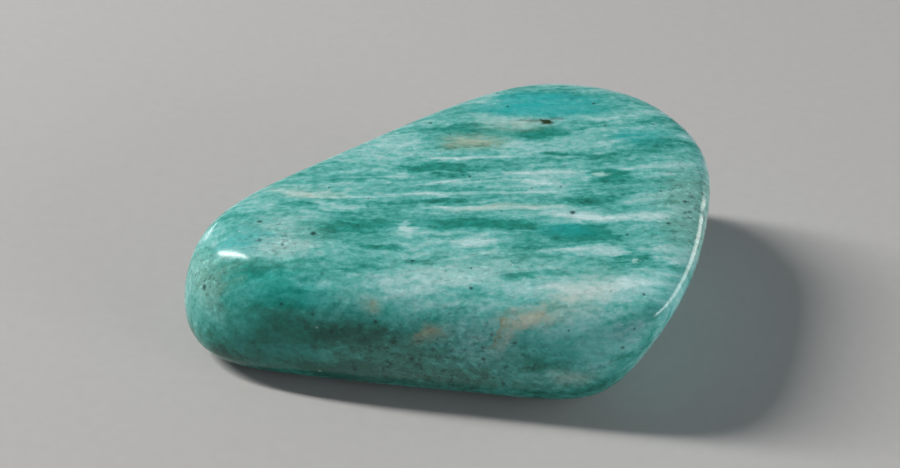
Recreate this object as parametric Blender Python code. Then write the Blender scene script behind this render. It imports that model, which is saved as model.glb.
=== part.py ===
"""A tumbled amazonite: one solid, flattish pebble of polished feldspar that lies on its broad underside.

The pebble began as a broken chunk with flat faces, and tumbling wore its edges round. It is built the same
way: WORN_FACES lists the flats, and the surface is where they meet in roundings of a stated radius.

Metres, +Z up. The origin is the middle of the bounding box, on the surface that the stone lies on. +X runs
along the stone, from its narrow end to its broad end, and +Y runs away from its tall front wall.
"""

from collections import namedtuple

import bmesh
import bpy
import numpy as np

MM = 0.001

# Half the stone's length, width and thickness. They set how the mesh is spread over it.
HALF_LENGTH = 22.0 * MM
HALF_WIDTH = 16.6 * MM
HALF_THICKNESS = 6.5 * MM

# The middle of the stone, from which each face's distance is measured.
HEART = np.array((0.06, 0.96, 6.57)) * MM

# The underside is worn truly flat below this height over its lowest point, so that the stone lies still.
REST_DEPTH = 0.25 * MM

# facing is the compass bearing of the face's outward normal, in degrees turned from +X towards +Y, and rise
# is how far that normal points above level. distance is from the heart, and rounding is the radius of the
# face's worn edges, both in millimetres.
Face = namedtuple("Face", "name facing rise distance rounding")
WORN_FACES = (
    Face("top", 262, 84.5, 6.2, 2.4),
    Face("underside", 0, -90, 6.6, 2.4),
    Face("front_wall", 260.6, 2, 15.8, 2.9),
    Face("front_right_corner", 301, -18, 23.0, 2.2),
    Face("undercut_right_wall", -20, -27, 19.1, 1.35),
    Face("broad_end", -3, -21.5, 20.0, 2.6),
    Face("broad_end_back", 31, -8.5, 22.6, 2.2),
    Face("back_corner", 60, -6, 21.0, 2.6),
    Face("back", 84, -4, 17.2, 2.6),
    Face("long_back_wall", 123.4, -4, 10.0, 2.2),
    Face("narrow_end_back", 157, 20, 19.8, 3.0),
    Face("narrow_end", 196, -4, 25.1, 2.6),
    Face("front_left_shoulder", 220, 30, 20.5, 1.8),
)
ROUNDING_PER_SOFTNESS = 1.414  # a right-angled edge has this radius where the faces' softness is 1

# Broad, shallow swells that hand-held polishing leaves: direction of each wave, its length, height and start.
Swell = namedtuple("Swell", "along length height start")
SWELLS = (
    Swell((0.9, 0.4, 0.2), 19.0, 0.03, 0.6),
    Swell((-0.3, 0.9, 0.3), 13.0, 0.02, 2.1),
    Swell((0.6, -0.7, 0.5), 8.0, 0.01, 4.0),
)

GRID = 28  # squares along each edge of the cube that becomes the stone
SEARCH_STEPS = 45
FARTHEST = 40.0 * MM

STONE_COLOUR = (0.13, 0.47, 0.40, 1.0)
POLISH_ROUGHNESS = 0.22


def clear_scene():
    for obj in list(bpy.data.objects):
        bpy.data.objects.remove(obj, do_unlink=True)


def normals_of(faces):
    """The unit outward normal of each face, from its bearing and its rise."""
    facing = np.radians([face.facing for face in faces])
    rise = np.radians([face.rise for face in faces])
    return np.stack((np.cos(facing) * np.cos(rise), np.sin(facing) * np.cos(rise), np.sin(rise)), axis=1)


def swell_at(points):
    """The height of the polishing swells, a sum of plane sine waves, at each point taken from the heart."""
    height = np.zeros(len(points))
    for swell in SWELLS:
        along = np.array(swell.along) / np.linalg.norm(swell.along)
        turns = points @ along / (swell.length * MM)
        height += swell.height * MM * np.sin(2 * np.pi * turns + swell.start)
    return height


def worn_radius(directions):
    """How far the stone reaches from its heart in each direction.

    The surface is where the sum over the faces of exp(height over the face / its softness) is 1. Well inside
    a face only that face counts, so the surface is flat, and near an edge two or three count, which rounds it.
    A swell lifts every face by its own height there. The radius is found by halving an interval.
    """
    steepness = directions @ normals_of(WORN_FACES).T
    distance = np.array([face.distance for face in WORN_FACES]) * MM
    softness = np.array([face.rounding for face in WORN_FACES]) * MM / ROUNDING_PER_SOFTNESS
    near = np.zeros(len(directions))
    far = np.full(len(directions), FARTHEST)
    for _ in range(SEARCH_STEPS):
        middle = (near + far) / 2
        swell = swell_at(directions * middle[:, None])
        height = (middle[:, None] * steepness - distance - swell[:, None]) / softness
        outside = np.exp(np.clip(height, -50, 50)).sum(axis=1) > 1
        far = np.where(outside, middle, far)
        near = np.where(outside, near, middle)
    return near


def stone_surface(corners):
    """Carries the points of a unit cube out to the stone's surface, and flattens its resting face.

    The points are first drawn towards the cube's edges, because the stone curves the most at its worn edges.
    """
    drawn = (corners + np.sin(corners * np.pi / 2)) / 2
    stretched = drawn * (HALF_LENGTH, HALF_WIDTH, HALF_THICKNESS)
    directions = stretched / np.linalg.norm(stretched, axis=1, keepdims=True)
    points = HEART + directions * worn_radius(directions)[:, None]
    floor = points[:, 2].min() + REST_DEPTH
    points[:, 2] = np.maximum(points[:, 2], floor) - floor
    return points


def amazonite_material():
    material = bpy.data.materials.new("amazonite")
    material.use_nodes = True
    shader = material.node_tree.nodes["Principled BSDF"]
    shader.inputs["Base Color"].default_value = STONE_COLOUR
    shader.inputs["Roughness"].default_value = POLISH_ROUGHNESS
    shader.inputs["Metallic"].default_value = 0.0
    material.diffuse_color = STONE_COLOUR
    return material


def make_stone(collection):
    """One closed body: a cube cut into an even grid, whose points are worn back to the stone."""
    grid = bmesh.new()
    bmesh.ops.create_cube(grid, size=2.0)
    bmesh.ops.subdivide_edges(grid, edges=grid.edges[:], cuts=GRID - 1, use_grid_fill=True)
    corners = np.array([vertex.co for vertex in grid.verts])
    for vertex, place in zip(grid.verts, stone_surface(corners)):
        vertex.co = place
    mesh = bpy.data.meshes.new("amazonite_stone")
    grid.to_mesh(mesh)
    grid.free()
    mesh.shade_smooth()
    mesh.materials.append(amazonite_material())
    stone = bpy.data.objects.new("amazonite_stone", mesh)
    collection.objects.link(stone)
    return stone


def main():
    clear_scene()
    collection = bpy.data.collections.new("tumbled_amazonite")
    bpy.context.scene.collection.children.link(collection)
    make_stone(collection)


main()
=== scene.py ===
"""A tumbled amazonite lying on a plain pale floor.

Amazonite is a green feldspar. While it cooled, a paler feldspar parted from it in thin sheets, the lamellae,
which all stand on edge along the stone. The polish cuts through them: its top shows them edge on, as fine
streaks, and its tall front wall shows them face on, as broad clouds. Lengths are in metres and +Z is up.
"""

import math
from collections import namedtuple

import bpy
import numpy as np
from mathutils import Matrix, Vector


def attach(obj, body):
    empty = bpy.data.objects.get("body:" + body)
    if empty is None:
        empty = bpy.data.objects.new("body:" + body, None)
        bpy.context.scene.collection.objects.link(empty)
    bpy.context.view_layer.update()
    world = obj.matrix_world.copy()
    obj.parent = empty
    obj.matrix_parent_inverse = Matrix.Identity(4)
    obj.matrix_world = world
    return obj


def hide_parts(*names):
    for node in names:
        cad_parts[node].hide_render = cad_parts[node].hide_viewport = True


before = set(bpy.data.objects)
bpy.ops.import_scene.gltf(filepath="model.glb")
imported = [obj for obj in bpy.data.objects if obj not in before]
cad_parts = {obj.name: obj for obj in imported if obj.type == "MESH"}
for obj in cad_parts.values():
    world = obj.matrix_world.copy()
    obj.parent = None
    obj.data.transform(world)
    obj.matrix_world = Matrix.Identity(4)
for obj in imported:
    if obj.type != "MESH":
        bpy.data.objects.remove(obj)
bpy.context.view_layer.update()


# The camera
# A long lens that looks along +Y and down on the stone from a hand's length away, as the photograph does. Its
# aim is close to the middle of the stone.

MM = 0.001
CAMERA_RISE = math.radians(34.7)
CAMERA_DISTANCE = 162.6 * MM
CAMERA_AIM = Vector((0.04, 0.96, 6.42)) * MM
LENS_LENGTH = 75.0  # millimetres, as Blender counts a lens
FILM_WIDTH = 36.0
NEAREST_SEEN = 10.0 * MM
FARTHEST_SEEN = 20.0

camera_data = bpy.data.cameras.new("camera")
camera_data.lens = LENS_LENGTH
camera_data.sensor_width = FILM_WIDTH
camera_data.clip_start = NEAREST_SEEN
camera_data.clip_end = FARTHEST_SEEN
camera = bpy.data.objects.new("camera", camera_data)
bpy.context.collection.objects.link(camera)
back = Vector((0.0, -math.cos(CAMERA_RISE), math.sin(CAMERA_RISE)))
camera.location = CAMERA_AIM + back * CAMERA_DISTANCE
camera.rotation_euler = (-back).to_track_quat("-Z", "Y").to_euler()
bpy.context.scene.camera = camera
bpy.context.scene.view_settings.view_transform = "Standard"


# The floor
# A pale matt studio floor of painted board, wide enough to fill every view. Its fine grain keeps it from
# looking flat. It isn't part of the stone.

FLOOR_HALF = 3.0
FLOOR_COLOUR = (0.41, 0.405, 0.40)
FLOOR_GRAIN_SCALE = 900.0  # grains to the metre
FLOOR_DARKEST_GRAIN = 0.94
FLOOR_PALEST_GRAIN = 1.03
FLOOR_ROUGHNESS = 0.75


def put(tree, kind, feeds=None, **settings):
    """Adds a shader node, applies its settings and feeds its inputs: a socket is linked, a value is set."""
    node = tree.nodes.new(kind)
    for setting, value in settings.items():
        setattr(node, setting, value)
    for socket, value in (feeds or {}).items():
        if isinstance(value, bpy.types.NodeSocket):
            tree.links.new(value, node.inputs[socket])
        else:
            node.inputs[socket].default_value = value
    return node


def new_material(name):
    """A material whose tree holds only its output. Returns the material, its tree and its output node."""
    material = bpy.data.materials.new(name)
    material.use_nodes = True
    tree = material.node_tree
    tree.nodes.clear()
    return material, tree, tree.nodes.new("ShaderNodeOutputMaterial")


floor_material, tree, output = new_material("studio_floor")
place = put(tree, "ShaderNodeTexCoord").outputs["Object"]
grain = put(tree, "ShaderNodeTexNoise", {
    "Vector": place, "Scale": FLOOR_GRAIN_SCALE, "Detail": 3.0,
}).outputs["Fac"]
shade = put(tree, "ShaderNodeMapRange", {
    "Value": grain, "To Min": FLOOR_DARKEST_GRAIN, "To Max": FLOOR_PALEST_GRAIN,
}).outputs["Result"]
colour = put(tree, "ShaderNodeVectorMath", {0: FLOOR_COLOUR, "Scale": shade}, operation="SCALE").outputs[0]
shader = put(tree, "ShaderNodeBsdfPrincipled", {"Base Color": colour, "Roughness": FLOOR_ROUGHNESS})
tree.links.new(shader.outputs[0], output.inputs["Surface"])

floor_mesh = bpy.data.meshes.new("floor")
floor_corners = np.array(((-1, -1, 0), (1, -1, 0), (1, 1, 0), (-1, 1, 0))) * FLOOR_HALF
floor_mesh.from_pydata(floor_corners.tolist(), [], [(0, 1, 2, 3)])
floor_mesh.materials.append(floor_material)
floor = bpy.data.objects.new("floor", floor_mesh)
bpy.context.collection.objects.link(floor)


# The studio light
# One key softbox stands high on the left, a little behind the stone, so its top is lit and its front wall
# is in soft shade, and a panel and a weak fill light its right side. Narrow strips that show only in the
# polish draw the small glint on its left shoulder and the bright lines along its worn edges.

# bearing and rise are in degrees from the stone, and distance, width and height in metres. A lamp shows in
# the stone's body colour or in its polish, not in both.
Lamp = namedtuple("Lamp", "name bearing rise distance width height watts colour shows_in")
LAMPS = (
    Lamp("key_softbox", 165.1, 40.6, 0.60, 0.05, 0.30, 5.0, (1.0, 0.98, 0.95), "body"),
    Lamp("right_panel", 2.0, 9.5, 0.50, 0.76, 0.13, 1.50, (0.96, 0.98, 1.0), "body"),
    Lamp("right_front_fill", -36.0, 14.0, 0.50, 0.26, 0.16, 0.72, (0.98, 0.99, 1.0), "body"),
    Lamp("glint_strip", 165.1, 40.6, 0.56, 0.022, 0.25, 0.90, (1.0, 0.98, 0.95), "polish"),
    Lamp("right_edge_strip", 12.0, 11.0, 0.46, 0.48, 0.18, 1.50, (1.0, 0.98, 0.92), "polish"),
    Lamp("right_front_edge_strip", -25.0, 9.5, 0.46, 0.20, 0.08, 0.42, (0.96, 0.98, 1.0), "polish"),
    Lamp("left_edge_strip", 132.0, 3.5, 0.50, 0.14, 0.03, 0.092, (0.96, 0.98, 1.0), "polish"),
)
SKY_COLOUR = (0.76, 0.82, 0.92, 1.0)
SKY_STRENGTH = 0.13


def direction_of(bearing, rise):
    """The unit vector that points a bearing from +X towards +Y, and rises so far above level, in degrees."""
    turn, lift = math.radians(bearing), math.radians(rise)
    return Vector((math.cos(turn) * math.cos(lift), math.sin(turn) * math.cos(lift), math.sin(lift)))


for lamp in LAMPS:
    lamp_data = bpy.data.lights.new(lamp.name, "AREA")
    lamp_data.shape = "RECTANGLE"
    lamp_data.size = lamp.width
    lamp_data.size_y = lamp.height
    lamp_data.energy = lamp.watts
    lamp_data.color = lamp.colour
    lamp_object = bpy.data.objects.new(lamp.name, lamp_data)
    bpy.context.collection.objects.link(lamp_object)
    lamp_object.visible_glossy = lamp.shows_in == "polish"
    lamp_object.visible_diffuse = lamp.shows_in == "body"
    towards = direction_of(lamp.bearing, lamp.rise)
    lamp_object.location = CAMERA_AIM + towards * lamp.distance
    lamp_object.rotation_euler = towards.to_track_quat("Z", "Y").to_euler()

sky = bpy.data.worlds.new("studio_sky")
sky.use_nodes = True
sky.node_tree.nodes["Background"].inputs["Color"].default_value = SKY_COLOUR
sky.node_tree.nodes["Background"].inputs["Strength"].default_value = SKY_STRENGTH
bpy.context.scene.world = sky


# The stone's shape
# A chunk of feldspar that broke along flat faces and was tumbled until its edges were round. Its surface is
# where those flats meet in roundings of a stated radius, so flats and roundings are named as the solid's are.

HALF_SIZE = (22.0 * MM, 16.6 * MM, 6.5 * MM)
HEART = np.array((0.06, 0.96, 6.4026)) * MM

# facing is the compass bearing of the flat's outward normal, in degrees turned from +X towards +Y, and rise
# is how far that normal points above level. distance is from the heart, and rounding is the radius of the
# flat's worn edges, both in millimetres.
Flat = namedtuple("Flat", "name facing rise distance rounding")
WORN_FLATS = (
    Flat("top", 262, 84.5, 6.2, 2.4),
    Flat("underside", 0, -90, 6.6, 2.4),
    Flat("front_wall", 260.6, 2, 15.8, 2.9),
    Flat("front_right_corner", 301, -18, 23.0, 2.2),
    Flat("undercut_right_wall", -20, -27, 19.1, 1.35),
    Flat("broad_end", -3, -21.5, 20.0, 2.6),
    Flat("broad_end_back", 31, -8.5, 22.6, 2.2),
    Flat("back_corner", 60, -6, 21.0, 2.6),
    Flat("back", 84, -4, 17.2, 2.6),
    Flat("long_back_wall", 123.4, -4, 10.0, 2.2),
    Flat("narrow_end_back", 157, 20, 19.8, 3.0),
    Flat("narrow_end", 196, -4, 25.1, 2.6),
    Flat("front_left_shoulder", 220, 30, 20.5, 1.8),
)
ROUNDING_PER_SOFTNESS = 1.414

# Broad, shallow swells that polishing leaves: direction of each wave, its length, height and start.
Swell = namedtuple("Swell", "along length height start")
SWELLS = (
    Swell((0.9, 0.4, 0.2), 19.0, 0.03, 0.6),
    Swell((-0.3, 0.9, 0.3), 13.0, 0.02, 2.1),
    Swell((0.6, -0.7, 0.5), 8.0, 0.01, 4.0),
)

# Small hollows in the polish: middle and half size in millimetres, and depth.
Hollow = namedtuple("Hollow", "name middle half depth")
HOLLOWS = (
    Hollow("cleft_by_the_inclusion", (8.3, 8.4, 13.3), (1.2, 0.35, 1.5), 0.10),
    Hollow("nick_in_the_right_edge", (21.7, -2.9, 11.1), (1.1, 0.7, 1.2), 0.08),
    Hollow("pit_in_the_right_edge", (21.4, -4.6, 10.9), (0.9, 0.6, 0.9), 0.05),
)
POLISH_LOSS = 0.03 * MM

STONE_GRID = 118  # squares along each edge of the cube that becomes the stone
SEARCH_STEPS = 45
FARTHEST = 40.0 * MM


def cube_grid(count):
    """The points and squares of a cube from -1 to 1, with count squares along each edge and shared borders.

    Each side is a grid over two parameters. Points that two sides share are made one, so the cube is closed.
    """
    steps = np.linspace(-1.0, 1.0, count + 1)
    across, up = np.meshgrid(steps, steps)
    one = np.ones_like(across)
    sides = (
        (one, across, up), (-one, up, across), (across, -one, up),
        (up, one, across), (across, up, one), (up, across, -one),
    )
    points = np.concatenate([np.stack(side, axis=-1).reshape(-1, 3) for side in sides])
    row, column = np.meshgrid(np.arange(count), np.arange(count), indexing="ij")
    first = (row * (count + 1) + column).ravel()
    square = np.stack((first, first + 1, first + count + 2, first + count + 1), axis=1)
    squares = np.concatenate([square + side * (count + 1) ** 2 for side in range(len(sides))])
    keys = np.rint((points + 1) * count).astype(np.int64)
    _, kept, renamed = np.unique(keys, axis=0, return_index=True, return_inverse=True)
    return points[kept], renamed.ravel()[squares]


def normals_of(flats):
    """The unit outward normal of each flat, from its bearing and its rise."""
    return np.array([direction_of(flat.facing, flat.rise) for flat in flats])


def swell_at(points):
    """The height of the polishing swells, a sum of plane sine waves, at each point taken from the heart."""
    height = np.zeros(len(points))
    for swell in SWELLS:
        along = np.array(swell.along) / np.linalg.norm(swell.along)
        turns = points @ along / (swell.length * MM)
        height += swell.height * MM * np.sin(2 * np.pi * turns + swell.start)
    return height


def worn_radius(directions):
    """How far the stone reaches from its heart in each direction.

    The surface is where the sum over the flats of exp(height over the flat / its softness) is 1. Well inside
    a flat only that one counts, and near an edge two or three count, which rounds it. A swell lifts every
    flat by its own height there. The radius is found by halving an interval.
    """
    steepness = directions @ normals_of(WORN_FLATS).T
    distance = np.array([flat.distance for flat in WORN_FLATS]) * MM
    softness = np.array([flat.rounding for flat in WORN_FLATS]) * MM / ROUNDING_PER_SOFTNESS
    near = np.zeros(len(directions))
    far = np.full(len(directions), FARTHEST)
    for _ in range(SEARCH_STEPS):
        middle = (near + far) / 2
        swell = swell_at(directions * middle[:, None])
        height = (middle[:, None] * steepness - distance - swell[:, None]) / softness
        outside = np.exp(np.clip(height, -50, 50)).sum(axis=1) > 1
        far = np.where(outside, middle, far)
        near = np.where(outside, near, middle)
    return near


def hollow_depth(points):
    """How deep the hollows are at each point: each is a bell, exp(-(distance over half size) squared)."""
    depth = np.zeros(len(points))
    for hollow in HOLLOWS:
        away = (points - np.array(hollow.middle) * MM) / (np.array(hollow.half) * MM)
        depth += hollow.depth * MM * np.exp(-(away**2).sum(axis=1))
    return depth


def stone_surface(corners):
    """Carries the points of a unit cube out to the stone's surface, and flattens its resting face.

    The points are first drawn towards the cube's edges, by half of their own sine, because the stone curves
    the most at its worn edges. Each then goes out from the heart by the worn radius, less the hollows there.
    """
    drawn = (corners + np.sin(corners * np.pi / 2)) / 2
    stretched = drawn * HALF_SIZE
    directions = stretched / np.linalg.norm(stretched, axis=1, keepdims=True)
    radius = worn_radius(directions) - POLISH_LOSS
    points = HEART + directions * radius[:, None]
    points -= directions * hollow_depth(points)[:, None]
    points[:, 2] = np.maximum(points[:, 2], 0.0)
    return points


corners, squares = cube_grid(STONE_GRID)
stone_mesh = bpy.data.meshes.new("tumbled_amazonite")
stone_mesh.vertices.add(len(corners))
stone_mesh.vertices.foreach_set("co", stone_surface(corners).ravel())
stone_mesh.loops.add(squares.size)
stone_mesh.loops.foreach_set("vertex_index", squares.ravel())
stone_mesh.polygons.add(len(squares))
stone_mesh.polygons.foreach_set("loop_start", np.arange(len(squares)) * 4)
stone_mesh.update(calc_edges=True)
stone_mesh.shade_smooth()
stone = bpy.data.objects.new("tumbled_amazonite", stone_mesh)
bpy.context.collection.objects.link(stone)


# The stone's look
# Blue-green feldspar with pale lamellae, darker and milky lenses, tan stains along a healed crack and small
# black grains, all cut through by the polish. Every pattern is solid, so it runs on round each edge.

# A lens is a patch that one zone of the stone fills: its middle and half size in millimetres, how far it is
# turned about each axis, and how strong it is.
Lens = namedtuple("Lens", "name middle half turn strength")
TOP_LENS_HEIGHT = 12.6
TOP_LENS_REACH = 5.0  # half of how far a lens of the top runs down through the stone
FRONT_WALL_PLACE = -14.0
FRONT_LENS_REACH = 9.0
STAIN_REACH = 4.0


def top_lens(name, x, y, half_x, half_y, strength, turn=0.0):
    """A lens that the top cuts, placed as it is seen from above."""
    middle = (x, y, TOP_LENS_HEIGHT)
    return Lens(name, middle, (half_x, half_y, TOP_LENS_REACH), (0.0, 0.0, math.radians(turn)), strength)


def front_lens(name, x, z, half_x, half_z, strength, turn=0.0, reach=FRONT_LENS_REACH):
    """A lens that the front wall cuts, placed as it is seen from in front."""
    middle = (x, FRONT_WALL_PLACE, z)
    return Lens(name, middle, (half_x, reach, half_z), (0.0, math.radians(-turn), 0.0), strength)


# Lenses that are darker (below zero) or milkier (above zero) than the stone round them. Those of the top
# never make it darker than DARKEST_ON_TOP.
TOP_TONE_LENSES = (
    top_lens("green_below_inclusion", 8.2, 6.4, 2.5, 0.95, -0.46),
    top_lens("right_rim_teal", 18.2, 5.3, 3.6, 1.3, -0.36, 4),
    top_lens("round_the_eye", 13.2, 0.6, 2.3, 1.1, -0.46),
    top_lens("below_the_eye", 12.4, -2.6, 3.0, 1.5, -0.32, 6),
    top_lens("mid_dark_streak", -1.4, 1.9, 3.4, 0.7, -0.44),
    top_lens("mid_dark_streak_tail", 0.2, 0.8, 1.6, 0.35, -0.34),
    top_lens("left_dark_streak", -12.6, -2.8, 2.3, 0.5, -0.40),
    top_lens("long_dark_streak", -2.5, -2.5, 5.0, 0.42, -0.30),
    top_lens("left_band", -8.0, -5.5, 4.2, 1.0, -0.16, -4),
    top_lens("left_band_core", -5.6, -5.2, 1.6, 0.6, -0.20, -4),
    top_lens("main_band_left", 2.2, -5.7, 5.2, 1.0, -0.43),
    top_lens("main_band_core", 5.4, -6.1, 1.6, 0.45, -0.26),
    top_lens("main_band_right", 10.9, -6.8, 4.2, 1.2, -0.50, -3),
    top_lens("main_band_end", 12.9, -7.5, 1.6, 0.6, -0.30),
    top_lens("small_dark_left", -5.6, -8.2, 1.4, 0.45, -0.46),
    top_lens("small_dark_middle", -2.3, -9.8, 1.8, 0.4, -0.36),
    top_lens("mottle_by_the_right", 15.0, -9.8, 1.5, 1.4, -0.30),
    top_lens("front_dark_streak", 5.6, -11.9, 1.7, 0.42, -0.38),
    top_lens("under_the_tan", 1.2, 4.9, 3.2, 0.35, -0.30),
    top_lens("back_green", 0.6, 7.3, 4.2, 1.4, -0.31),
    top_lens("right_dark", 18.4, -3.0, 1.5, 0.55, -0.28),
    top_lens("broad_end_rim", 20.8, -3.0, 1.8, 6.0, -0.14),
    top_lens("small_dark_back", 8.3, 3.5, 1.1, 0.4, -0.30),
    top_lens("back_right_streak", 12.6, 3.4, 2.2, 0.5, -0.24),
    top_lens("teal_in_the_milk", 6.3, -8.9, 2.0, 0.9, -0.24),
    top_lens("cyan_field", 9.4, 11.2, 6.4, 2.0, -0.20),
    top_lens("milk_patch", 2.1, -7.5, 2.6, 0.85, 0.29),
    top_lens("cream_band", 2.6, -3.6, 6.6, 0.5, 0.24),
    top_lens("cream_band_right", 12.6, -4.8, 4.6, 0.5, 0.34, -4),
    top_lens("grey_patch", 16.6, -5.0, 1.9, 0.9, 0.34),
    top_lens("yellowish_patch", -12.2, -1.1, 2.5, 0.6, 0.26, -12),
    top_lens("pale_by_the_yellowish_patch", -8.0, -0.4, 3.4, 0.9, 0.14),
    top_lens("front_milk", -1.4, -11.3, 7.0, 1.8, 0.23),
    top_lens("milk_on_the_shoulder", -1.8, -10.8, 2.4, 0.9, 0.08),
    top_lens("front_milk_right", 8.5, -13.0, 6.2, 1.2, 0.24),
    top_lens("pale_before_the_eye", 7.6, -0.2, 2.0, 0.7, 0.26),
    top_lens("pale_behind", 6.4, 4.9, 2.0, 0.6, 0.26),
    top_lens("pale_back_left", -5.2, 4.6, 2.8, 0.9, 0.24, 6),
    top_lens("gap_in_the_band", -3.6, -5.8, 0.8, 0.9, 0.32),
    top_lens("pale_thread_right", 14.5, 7.0, 4.2, 0.3, 0.26, 4),
    top_lens("left_mottle", -13.5, -7.6, 4.6, 1.6, 0.20),
    top_lens("pale_front_right", 11.2, -9.4, 3.6, 0.9, 0.26, 4),
    top_lens("right_front_milk", 15.5, -12.5, 3.5, 1.2, 0.20, 20),
)
DARKEST_ON_TOP = 0.17

# Long, straight lamellae that show as crisp pale threads.
THREAD_LENSES = (
    top_lens("long_thread", 1.4, -1.65, 7.4, 0.24, 0.30),
    top_lens("thread_left_of_it", -7.2, -1.9, 3.2, 0.14, 0.20),
    top_lens("cream_thread", 2.9, -3.6, 6.0, 0.26, 0.22),
    top_lens("cream_thread_right", 12.2, -5.0, 4.4, 0.28, 0.22, -4),
    top_lens("thread_before_the_eye", 7.6, 1.0, 3.2, 0.24, 0.28),
    top_lens("thread_behind", 2.0, 3.2, 4.2, 0.18, 0.22),
    top_lens("slanting_thread", 1.2, 0.1, 3.6, 0.15, 0.24, 7),
    top_lens("thread_left_of_the_middle", -7.0, 0.7, 5.0, 0.14, 0.18),
)

# The broad clouds of the front wall and, guessed to be like them, those of the hidden walls. On the front
# wall the darker lenses are partly darker green and partly painted shade, and those low on it paint
# the wall darker towards the bottom.
FRONT_TONE_AND_SHADE_LENSES = (
    Lens("narrow_end", (-20.6, -8.4, 8.2), (3.2, 3.6, 3.6), (0, 0, 0), -0.16),
    front_lens("upper_left_teal", -14.4, 9.9, 6.0, 1.3, -0.12),
    front_lens("left_deep_green", -13.0, 6.6, 8.0, 2.4, -0.39),
    front_lens("middle_green", -5.2, 6.2, 6.4, 2.4, -0.35),
    # Lenses low on the wall: painted shade towards the bottom, as well as darker green.
    front_lens("lower_left_green", -15.0, 2.6, 9.0, 3.0, -0.37),
    Lens("under_the_narrow_end", (-19.0, -10.6, 3.2), (5.0, 6.0, 2.8), (0, 0, 0), -0.20),
    front_lens("lower_wall_left", -8.2, 2.2, 6.0, 2.2, -0.30),
    front_lens("lower_wall", -0.5, 2.8, 9.5, 3.0, -0.44),
    front_lens("lower_right", 11.6, 2.8, 5.4, 2.0, -0.28),
    front_lens("right_milk", 10.6, 8.6, 4.8, 2.2, 0.27),
    front_lens("middle_of_the_wall", -1.4, 7.2, 4.4, 1.5, -0.10),
    front_lens("right_dark_blob", 13.2, 6.3, 0.8, 0.8, -0.30),
    front_lens("right_dark_patch", 7.6, 5.6, 2.6, 0.8, -0.30),
)

BACK_TONE_LENSES = (
    Lens("long_back_wall_green", (-7.0, 6.5, 5.2), (8.0, 5.0, 3.0), (0, 0, 0), -0.30),
    Lens("back_milk", (7.0, 17.0, 6.5), (5.0, 4.0, 3.2), (0, 0, 0), 0.20),
    Lens("back_corner_green", (15.5, 12.0, 4.6), (4.0, 5.0, 2.8), (0, 0, 0), -0.28),
    Lens("broad_end_milk", (21.0, 2.0, 6.4), (3.0, 4.5, 2.6), (0, 0, 0), 0.18),
    Lens("underside_green", (2.0, 0.0, 0.0), (12.0, 7.0, 2.0), (0, 0, 0), -0.20),
)

# Where the lamellae lie face on and blur into one another.
CALM_LENSES = (
    front_lens("front_wall", -4.0, 5.4, 18.0, 5.4, 1.0),
)

# Patches of clear teal, without any milk.
TEAL_LENSES = (
    front_lens("upper_left_teal", -14.4, 9.7, 6.4, 1.6, 1.00),
    front_lens("left_deep_green", -13.4, 6.6, 7.4, 2.4, 0.90),
    front_lens("middle_green", -4.6, 8.4, 5.0, 1.3, 0.45),
    front_lens("right_teal", 10.2, 7.2, 6.2, 2.6, 0.85),
    front_lens("lower_left_green", -16.5, 3.4, 6.0, 2.6, 0.60),
    top_lens("green_below_inclusion", 8.2, 6.4, 2.5, 0.95, 0.60),
    top_lens("round_the_eye", 13.2, 0.6, 2.3, 1.1, 0.50),
    top_lens("main_band_left", 2.2, -5.7, 5.2, 1.0, 0.55),
    top_lens("main_band_right", 10.9, -6.8, 4.2, 1.2, 0.75, -3),
    top_lens("mid_dark_streak", -1.4, 1.9, 3.4, 0.7, 0.40),
    top_lens("left_band", -8.0, -5.5, 4.2, 1.0, 0.40, -4),
    Lens("right_front_edge", (17.4, -13.4, 9.8), (4.0, 3.2, 3.0), (0, 0, 0), 0.35),
)

# Mealy zones, where grey-green grains and dark flecks crowd together, and zones with the flecks alone.
MEALY_LENSES = (
    Lens("narrow_end", (-20.4, -8.8, 8.8), (2.8, 3.6, 3.2), (0, 0, 0), 1.0),
    Lens("broad_end", (20.6, -3.6, 11.0), (4.0, 7.0, 4.5), (0, 0, 0), 1.0),
    front_lens("lower_wall", -2.0, 4.2, 9.0, 3.2, 0.32),
    top_lens("left_of_the_top", -14.0, -7.0, 5.0, 3.0, 0.55),
    top_lens("front_of_the_top", 2.0, -10.5, 8.0, 2.0, 0.35),
)
FLECKED_LENSES = (
    front_lens("wall", -2.0, 5.6, 13.0, 4.6, 0.60),
    front_lens("right_of_the_wall", 10.0, 5.0, 6.0, 3.0, 0.35),
)

# Zones of blue-green, and iron stains: tan on the top, rust and ochre along the healed crack in the wall.
CYAN_LENSES = (
    top_lens("cyan_field", 8.4, 10.9, 6.4, 2.3, 0.85),
    top_lens("cyan_spot", -16.5, -6.8, 2.4, 1.6, 0.95, -15),
    top_lens("cyan_in_the_band", 9.4, -6.4, 3.0, 0.9, 0.50),
    top_lens("cyan_right_rim", 16.4, 6.0, 3.2, 1.6, 0.45),
)
TAN_LENSES = (
    top_lens("tan_on_top", 1.9, 5.4, 3.8, 1.3, 0.95),
    top_lens("tan_by_the_inclusion", 5.6, 7.9, 3.8, 1.2, 0.50),
    top_lens("yellowish_patch", -12.2, -1.1, 3.4, 0.8, 0.60, -12),
    top_lens("cream_in_the_band", 4.6, -3.7, 5.0, 0.6, 0.50),
)
RUST_LENSES = (
    front_lens("crack_stain_upper", 9.6, 10.5, 5.2, 1.0, 0.55, 18, STAIN_REACH),
    front_lens("crack_stain", 6.1, 9.2, 2.4, 0.95, 0.75, 12, STAIN_REACH),
    front_lens("crack_stain_middle", 5.5, 8.3, 1.4, 0.9, 0.45, 40, STAIN_REACH),
    front_lens("crack_stain_lower", 4.6, 7.7, 2.3, 0.8, 0.80, 66, STAIN_REACH),
    front_lens("brown_spot_left", -6.2, 9.2, 1.3, 0.9, 0.50, 20, STAIN_REACH),
    front_lens("brown_spot_middle", -1.4, 7.3, 1.9, 0.8, 0.45, 25, STAIN_REACH),
    front_lens("brown_spot_right", 9.5, 4.5, 2.0, 1.1, 0.80, 0, STAIN_REACH),
)
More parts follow.
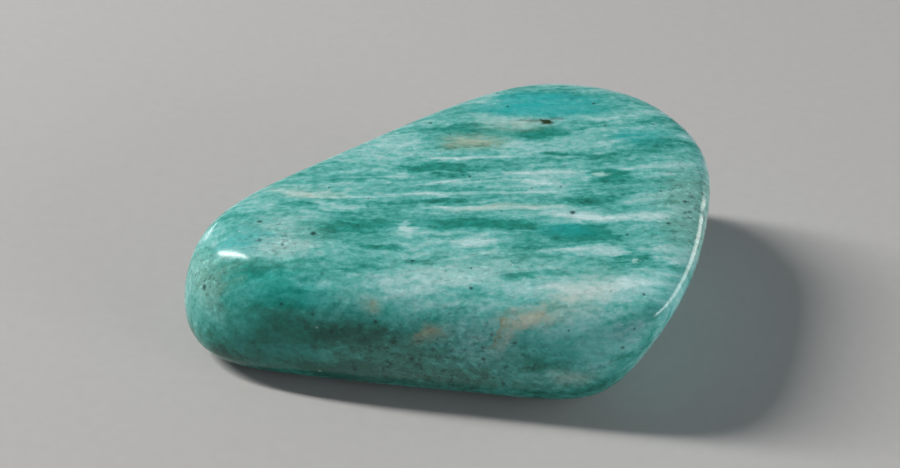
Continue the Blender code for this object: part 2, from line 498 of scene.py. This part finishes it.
OCHRE_LENSES = (
    front_lens("ochre_line", 3.95, 7.9, 2.0, 0.26, 1.00, 68, STAIN_REACH),
    front_lens("ochre_fleck", 6.8, 9.6, 1.3, 0.18, 0.25, 30, STAIN_REACH),
    front_lens("ochre_in_the_left_spot", -6.0, 9.1, 0.7, 0.40, 0.80, 40, STAIN_REACH),
    front_lens("ochre_in_the_middle_spot", -1.7, 7.4, 1.1, 0.60, 0.55, 30, STAIN_REACH),
)

# A dark olive inclusion, two black specks and two bright ones.
INCLUSION_LENSES = (
    top_lens("olive_inclusion", 8.5, 8.25, 0.7, 0.45, 1.0, -25),
    top_lens("olive_thread", 7.2, 8.5, 1.8, 0.22, 0.5),
    top_lens("olive_right", 9.4, 8.7, 0.9, 0.26, 0.45),
)
SPECK_LENSES = (
    top_lens("speck_in_the_cream_band", 10.2, -4.3, 0.30, 0.24, 0.9),
    top_lens("speck_by_the_cyan_spot", -15.7, -4.8, 0.26, 0.22, 0.8),
)
EYE_LENSES = (
    top_lens("eye", 12.75, 0.75, 0.8, 0.28, 0.9),
    top_lens("bright_speck", 14.9, -10.3, 0.32, 0.28, 0.8),
)


def new_group(name, inputs, output):
    """An empty node group with named inputs, each with its kind and value, and one output."""
    group = bpy.data.node_groups.new(name, "ShaderNodeTree")
    for socket, (kind, value) in inputs.items():
        made = group.interface.new_socket(socket, in_out="INPUT", socket_type=kind)
        made.default_value = value
    group.interface.new_socket(output, in_out="OUTPUT", socket_type="NodeSocketFloat")
    return group, group.nodes.new("NodeGroupInput").outputs, group.nodes.new("NodeGroupOutput").inputs[0]


def calculate(tree, operation, *values):
    """The result of a Math node over its values, which are numbers or sockets."""
    return put(tree, "ShaderNodeMath", dict(enumerate(values)), operation=operation).outputs[0]


def move(tree, operation, *values):
    """The result of a Vector Math node over its values, which are vectors or sockets."""
    return put(tree, "ShaderNodeVectorMath", dict(enumerate(values)), operation=operation).outputs[0]


def clouds(tree, place, pattern, output="Fac"):
    """Noise whose clouds are about as large as the pattern's size along X, Y and Z."""
    squeezed = move(tree, "DIVIDE", place, pattern.size)
    feeds = {"Vector": squeezed, "Scale": 1.0, "Detail": pattern.detail, "Roughness": pattern.roughness}
    return put(tree, "ShaderNodeTexNoise", feeds).outputs[output]


def stretch(tree, value, low, high, to_low=0.0, to_high=1.0, smooth=True):
    """Value stretched from low..high to to_low..to_high, and held inside them."""
    feeds = {"Value": value, "From Min": low, "From Max": high, "To Min": to_low, "To Max": to_high}
    kind = "SMOOTHSTEP" if smooth else "LINEAR"
    return put(tree, "ShaderNodeMapRange", feeds, interpolation_type=kind).outputs["Result"]


def between(tree, share, at_none, at_full):
    """A value that goes from at_none to at_full as share goes from 0 to 1: share * (full - none) + none."""
    return calculate(tree, "MULTIPLY_ADD", share, at_full - at_none, at_none)


def capped(tree, share):
    """Share, but never more than 1."""
    return calculate(tree, "MINIMUM", share, 1.0)


def drift(tree, place, pattern, reach):
    """How far the pattern drags each point: (its noise - 1/2) * reach, seldom more than a quarter of it."""
    noise = clouds(tree, place, pattern, "Color")
    return move(tree, "MULTIPLY", move(tree, "SUBTRACT", noise, (0.5, 0.5, 0.5)), reach)


def add_noise(tree, tone, noise, amount):
    """Tone with noise added, which takes it by amount from the noise's darkest to its palest."""
    centred = stretch(tree, noise, USUAL_NOISE[0], USUAL_NOISE[1], -0.5, 0.5, smooth=False)
    return calculate(tree, "MULTIPLY_ADD", centred, amount, tone)


# One lens: 1 out to Inner of its half size, and 0 past LENS_EDGE of it. Distance is counted in half sizes,
# after the lens is turned.
LENS_EDGE = 1.3
lens_group, given, result = new_group("mineral_lens", {
    "Place": ("NodeSocketVector", (0, 0, 0)),
    "Middle": ("NodeSocketVector", (0, 0, 0)),
    "Half Size": ("NodeSocketVector", (1, 1, 1)),
    "Turn": ("NodeSocketVector", (0, 0, 0)),
    "Inner": ("NodeSocketFloat", 0.3),
}, "Mask")
from_middle = move(lens_group, "SUBTRACT", given["Place"], given["Middle"])
turned = put(lens_group, "ShaderNodeVectorRotate", {"Vector": from_middle, "Rotation": given["Turn"]},
             rotation_type="EULER_XYZ", invert=True).outputs[0]
in_halves = move(lens_group, "DIVIDE", turned, given["Half Size"])
away = put(lens_group, "ShaderNodeVectorMath", {0: in_halves}, operation="LENGTH").outputs["Value"]
lens_group.links.new(stretch(lens_group, away, given["Inner"], LENS_EDGE, 1.0, 0.0), result)

# Small grains: each cell of a loose lattice holds one, of SMALLEST_GRAIN to LARGEST_GRAIN times the radius,
# and only a share of them are there. The cell's own random colour says how large and whether.
SMALLEST_GRAIN = 0.45
LARGEST_GRAIN = 1.2
GRAIN_HEART = 0.3  # share of its radius within which a grain is at full strength
GRAIN_EDGE = 1.2
grain_group, given, result = new_group("mineral_grains", {
    "Place": ("NodeSocketVector", (0, 0, 0)),
    "Spacing": ("NodeSocketFloat", 1.0),
    "Radius": ("NodeSocketFloat", 0.1),
    "Share": ("NodeSocketFloat", 0.2),
}, "Mask")
cells = put(grain_group, "ShaderNodeTexVoronoi", {
    "Vector": given["Place"], "Scale": calculate(grain_group, "DIVIDE", 1.0, given["Spacing"]),
})
chance = put(grain_group, "ShaderNodeSeparateColor", {0: cells.outputs["Color"]}).outputs
away = calculate(grain_group, "MULTIPLY", cells.outputs["Distance"], given["Spacing"])
times = stretch(grain_group, chance[1], 0.0, 1.0, SMALLEST_GRAIN, LARGEST_GRAIN, smooth=False)
in_radii = calculate(grain_group, "DIVIDE", away, calculate(grain_group, "MULTIPLY", given["Radius"], times))
body = stretch(grain_group, in_radii, GRAIN_HEART, GRAIN_EDGE, 1.0, 0.0)
there = calculate(grain_group, "LESS_THAN", chance[0], given["Share"])
grain_group.links.new(calculate(grain_group, "MULTIPLY", body, there), result)


def sum_of_lenses(tree, place, lenses, inner=0.3):
    """The lenses' masks times their strengths, added up. Each is full out to inner of its half size."""
    total = 0.0
    for lens in lenses:
        feeds = {
            "Place": place, "Middle": lens.middle, "Half Size": lens.half, "Turn": lens.turn, "Inner": inner,
        }
        mask = put(tree, "ShaderNodeGroup", feeds, node_tree=lens_group).outputs["Mask"]
        total = calculate(tree, "MULTIPLY_ADD", mask, lens.strength, total)
    return total


def blend_colour(tree, share, below, above):
    """The colour below, turned into the colour above by share. Blender's Mix node takes them as 6 and 7."""
    return put(tree, "ShaderNodeMix", {0: share, 6: below, 7: above}, data_type="RGBA").outputs[2]


def grains(tree, place, kind, flecked):
    """Where grains of that kind show, as a mask. Their number changes where the stone is flecked."""
    share = between(tree, flecked, kind.plain_share, kind.flecked_share)
    feeds = {"Place": place, "Spacing": kind.spacing, "Radius": kind.radius, "Share": share}
    return put(tree, "ShaderNodeGroup", feeds, node_tree=grain_group).outputs["Mask"]


# The colour at each tone, from the darkest green to the milkiest. On the front wall the darker tones
# partly stand for painted shade.
FELDSPAR_COLOURS = (
    (0.00, (0.008, 0.112, 0.083, 1)),
    (0.12, (0.021, 0.190, 0.150, 1)),
    (0.24, (0.030, 0.255, 0.215, 1)),
    (0.37, (0.068, 0.325, 0.290, 1)),
    (0.50, (0.115, 0.395, 0.368, 1)),
    (0.66, (0.220, 0.475, 0.458, 1)),
    (0.83, (0.330, 0.550, 0.542, 1)),
    (1.00, (0.450, 0.635, 0.635, 1)),
)
MILK_TAKEN_OUT = (0.25, 0.92, 0.88)  # what clear teal keeps of the red, green and blue
CYAN = (0.024, 0.365, 0.375, 1)
GREY_GREEN = (0.190, 0.370, 0.320, 1)
TAN = (0.380, 0.445, 0.345, 1)
RUST = (0.430, 0.450, 0.365, 1)
OCHRE = (0.290, 0.255, 0.130, 1)
EYE = (0.330, 0.600, 0.550, 1)
OLIVE = (0.016, 0.040, 0.014, 1)
BLACK_GRAIN = (0.004, 0.035, 0.028, 1)
WHITE_GRAIN = (0.60, 0.80, 0.78, 1)

# Each pattern is noise of a size along X, Y and Z, in millimetres. The lamellae run along X, on edge.
Pattern = namedtuple("Pattern", "size detail roughness")
BANDS = Pattern((11.0, 1.9, 5.0), 1.0, 0.55)
STREAKS = Pattern((4.4, 0.66, 2.6), 2.0, 0.55)
THREADS = Pattern((1.7, 0.26, 0.9), 2.0, 0.55)
MOTTLE = Pattern((0.70, 0.52, 0.55), 3.0, 0.62)
STAIN_PATCHES = Pattern((1.2, 0.5, 0.9), 2.0, 0.55)
DARK_FLECKS = Pattern((0.60, 0.46, 0.50), 2.0, 0.55)
PALE_FLECKS = Pattern((0.75, 0.34, 0.45), 2.0, 0.60)
POLISH_SMEARS = Pattern((5.0, 3.0, 4.0), 3.0, 0.55)
ORANGE_PEEL = Pattern((1.6, 1.6, 1.6), 2.0, 0.55)
USUAL_NOISE = (0.3, 0.7)  # between these values lies nearly all of a noise

# The patterns wander, and are dragged along the lamellae, which frays the ends of each patch. Grit makes
# every border ragged. The threads only waver, and the grains only lose their roundness. Each has its noise,
# and a reach along X, Y and Z in millimetres.
WANDER = Pattern((4.0, 2.0, 2.8), 1.0, 0.55)
WANDER_REACH = (2.6, 1.6, 2.0)
FRAY = Pattern((2.6, 0.55, 1.8), 2.0, 0.55)
FRAY_REACH = (4.2, 0.6, 1.4)
GRIT = Pattern((0.50, 0.30, 0.42), 2.0, 0.55)
GRIT_REACH = (1.3, 0.50, 0.8)
WAVER = Pattern((3.2, 2.0, 2.0), 1.0, 0.55)
WAVER_REACH = (0.0, 0.5, 0.0)
JITTER = Pattern((0.16, 0.16, 0.16), 1.0, 0.55)
JITTER_REACH = (0.3, 0.2, 0.2)
STREAMING = 0.0045  # how far the lamellae bow, in millimetres for each square millimetre along X

# The tone is a place in FELDSPAR_COLOURS. These say where it starts, and how far each pattern takes it from
# its darkest to its palest: in most of the stone, and where it is calm or clear.
PLAIN_TONE = 0.50
BAND_RANGE = 0.34
CALM_BAND_RANGE = 0.14
STREAK_RANGE = 0.31
CALM_STREAK_RANGE = 0.11
THREAD_RANGE = 0.08
MOTTLE_RANGE = 0.30
CLEAR_MOTTLE_RANGE = 0.12
MEALY_COVER = 0.60
FLECK_CONTRAST = 0.52
FAINTEST_FLECKS = 0.25

# Kinds of grain: the spacing of their lattice and their radius in millimetres, and the share of them that is
# there in plain and in flecked stone.
Grain = namedtuple("Grain", "spacing radius plain_share flecked_share")
FINE_BLACK = Grain(0.85, 0.18, 0.08, 0.28)
COARSE_BLACK = Grain(1.6, 0.27, 0.02, 0.64)
WHITE = Grain(0.8, 0.10, 0.05, 0.05)
BLACK_COVER = 0.85
WHITE_COVER = 0.45
WHITE_SQUEEZE = (0.6, 1.0, 1.0)  # draws the white grains out along the lamellae

# The polish: its roughness where it is best and where it is smeared, how much a black grain adds, and how
# deep it ripples.
BEST_POLISH = 0.14
SMEARED_POLISH = 0.22
GRAIN_DULLNESS = 0.25
RIPPLE_DEPTH = 0.02 * MM
RIPPLE_STRENGTH = 0.35
GRAIN_PIT = -0.8  # depth of a black grain's pit, and the mottle's height, as shares of the ripple
MOTTLE_RELIEF = 0.2
FELDSPAR_IOR = 1.53
GLOSS = 0.38

amazonite, tree, output = new_material("polished_amazonite")
metres = put(tree, "ShaderNodeTexCoord").outputs["Object"]
plain_place = move(tree, "MULTIPLY", metres, (1000.0, 1000.0, 1000.0))
axes = put(tree, "ShaderNodeSeparateXYZ", {0: plain_place}).outputs
bow = calculate(tree, "MULTIPLY", calculate(tree, "MULTIPLY", axes[0], axes[0]), STREAMING)
streamed = put(tree, "ShaderNodeCombineXYZ", {
    0: axes[0], 1: calculate(tree, "SUBTRACT", axes[1], bow), 2: axes[2],
}).outputs[0]

wander = drift(tree, streamed, WANDER, WANDER_REACH)
fray = drift(tree, streamed, FRAY, FRAY_REACH)
grit = drift(tree, plain_place, GRIT, GRIT_REACH)
gritted = move(tree, "ADD", plain_place, grit)
streaming = move(tree, "ADD", streamed, move(tree, "ADD", wander, grit))
frayed = move(tree, "ADD", plain_place, move(tree, "ADD", fray, move(tree, "ADD", wander, grit)))
stained = move(tree, "ADD", gritted, wander)
wavering = move(tree, "ADD", plain_place, drift(tree, plain_place, WAVER, WAVER_REACH))
grain_place = move(tree, "ADD", plain_place, drift(tree, plain_place, JITTER, JITTER_REACH))

bands = clouds(tree, streaming, BANDS)
streaks = clouds(tree, streaming, STREAKS)
threads = clouds(tree, streaming, THREADS)
mottle = clouds(tree, plain_place, MOTTLE)

calm = sum_of_lenses(tree, plain_place, CALM_LENSES)
clear = capped(tree, sum_of_lenses(tree, frayed, TEAL_LENSES, 0.0))
tone = add_noise(tree, PLAIN_TONE, bands, between(tree, calm, BAND_RANGE, CALM_BAND_RANGE))
tone = add_noise(tree, tone, streaks, between(tree, calm, STREAK_RANGE, CALM_STREAK_RANGE))
tone = add_noise(tree, tone, threads, THREAD_RANGE)
tone = calculate(tree, "ADD", tone, sum_of_lenses(tree, frayed, TOP_TONE_LENSES))
tone = calculate(tree, "ADD", tone, sum_of_lenses(tree, wavering, THREAD_LENSES, 0.5))
tone = calculate(tree, "MAXIMUM", tone, DARKEST_ON_TOP)
# On the front wall these lenses add painted shade, darker towards the bottom, as well as darker green.
tone = calculate(tree, "ADD", tone, sum_of_lenses(tree, frayed, FRONT_TONE_AND_SHADE_LENSES + BACK_TONE_LENSES, 0.15))
tone = add_noise(tree, tone, mottle, between(tree, clear, MOTTLE_RANGE, CLEAR_MOTTLE_RANGE))

body = put(tree, "ShaderNodeValToRGB", {0: tone})
ramp = body.color_ramp
while len(ramp.elements) < len(FELDSPAR_COLOURS):
    ramp.elements.new(0.5)
for element, (position, shade) in zip(ramp.elements, FELDSPAR_COLOURS):
    element.position = position
    element.color = shade
colour = body.outputs["Color"]

# The blue-green zones are thinner along the pale streaks, and clear teal has no milk in it.
cyan = sum_of_lenses(tree, frayed, CYAN_LENSES)
cyan = calculate(tree, "MULTIPLY", cyan, stretch(tree, streaks, 0.36, 0.6, 1.0, 0.7))
colour = blend_colour(tree, cyan, colour, CYAN)
colour = blend_colour(tree, clear, colour, move(tree, "MULTIPLY", colour, MILK_TAKEN_OUT))
mealy = capped(tree, sum_of_lenses(tree, frayed, MEALY_LENSES))
colour = blend_colour(tree, calculate(tree, "MULTIPLY", mealy, MEALY_COVER), colour, GREY_GREEN)
colour = blend_colour(tree, sum_of_lenses(tree, gritted, EYE_LENSES), colour, EYE)

# The stains are broken up, because they only reach some of the grains.
patchy = stretch(tree, clouds(tree, streaming, STAIN_PATCHES), 0.34, 0.64, 0.50, 1.0)
patchy = calculate(tree, "MULTIPLY", patchy, stretch(tree, threads, 0.38, 0.60, 0.72, 1.0))
for lenses, stain in ((TAN_LENSES, TAN), (RUST_LENSES, RUST), (OCHRE_LENSES, OCHRE)):
    strength = calculate(tree, "MULTIPLY", sum_of_lenses(tree, stained, lenses, 0.0), patchy)
    colour = blend_colour(tree, strength, colour, stain)

# Flecks of both feldspars stand out in the mealy zones, and faintly elsewhere.
flecked = calculate(tree, "ADD", mealy, sum_of_lenses(tree, plain_place, FLECKED_LENSES, 0.0))
crowding = between(tree, capped(tree, flecked), FAINTEST_FLECKS, 1.0)
dark_fleck = stretch(tree, clouds(tree, gritted, DARK_FLECKS), 0.52, 0.68, 0.0, -FLECK_CONTRAST)
pale_fleck = stretch(tree, clouds(tree, gritted, PALE_FLECKS), 0.52, 0.70, 0.0, FLECK_CONTRAST)
fleck = calculate(tree, "ADD", dark_fleck, pale_fleck)
change = calculate(tree, "MULTIPLY_ADD", fleck, crowding, 1.0)
colour = put(tree, "ShaderNodeVectorMath", {0: colour, "Scale": change}, operation="SCALE").outputs[0]

# The inclusion, the specks and the grains lie over everything else.
colour = blend_colour(tree, sum_of_lenses(tree, gritted, INCLUSION_LENSES), colour, OLIVE)
colour = blend_colour(tree, sum_of_lenses(tree, grain_place, SPECK_LENSES), colour, BLACK_GRAIN)
fine = grains(tree, grain_place, FINE_BLACK, flecked)
coarse = grains(tree, grain_place, COARSE_BLACK, capped(tree, flecked))
black = calculate(tree, "MAXIMUM", fine, coarse)
colour = blend_colour(tree, calculate(tree, "MULTIPLY", black, BLACK_COVER), colour, BLACK_GRAIN)
white = grains(tree, move(tree, "MULTIPLY", grain_place, WHITE_SQUEEZE), WHITE, flecked)
colour = blend_colour(tree, calculate(tree, "MULTIPLY", white, WHITE_COVER), colour, WHITE_GRAIN)

smear = stretch(tree, clouds(tree, plain_place, POLISH_SMEARS), USUAL_NOISE[0], USUAL_NOISE[1])
roughness = between(tree, smear, BEST_POLISH, SMEARED_POLISH)
roughness = calculate(tree, "MULTIPLY_ADD", black, GRAIN_DULLNESS, roughness)

height = calculate(tree, "MULTIPLY_ADD", black, GRAIN_PIT, clouds(tree, plain_place, ORANGE_PEEL))
height = calculate(tree, "MULTIPLY_ADD", mottle, MOTTLE_RELIEF, height)
bump = put(tree, "ShaderNodeBump", {
    "Strength": RIPPLE_STRENGTH, "Distance": RIPPLE_DEPTH, "Height": height,
})

shader = put(tree, "ShaderNodeBsdfPrincipled", {
    "Base Color": colour,
    "Roughness": roughness,
    "Normal": bump.outputs[0],
    "IOR": FELDSPAR_IOR,
    "Specular IOR Level": GLOSS,
})
tree.links.new(shader.outputs[0], output.inputs["Surface"])
stone_mesh.materials.append(amazonite)

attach(stone, "root")
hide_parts("amazonite_stone")
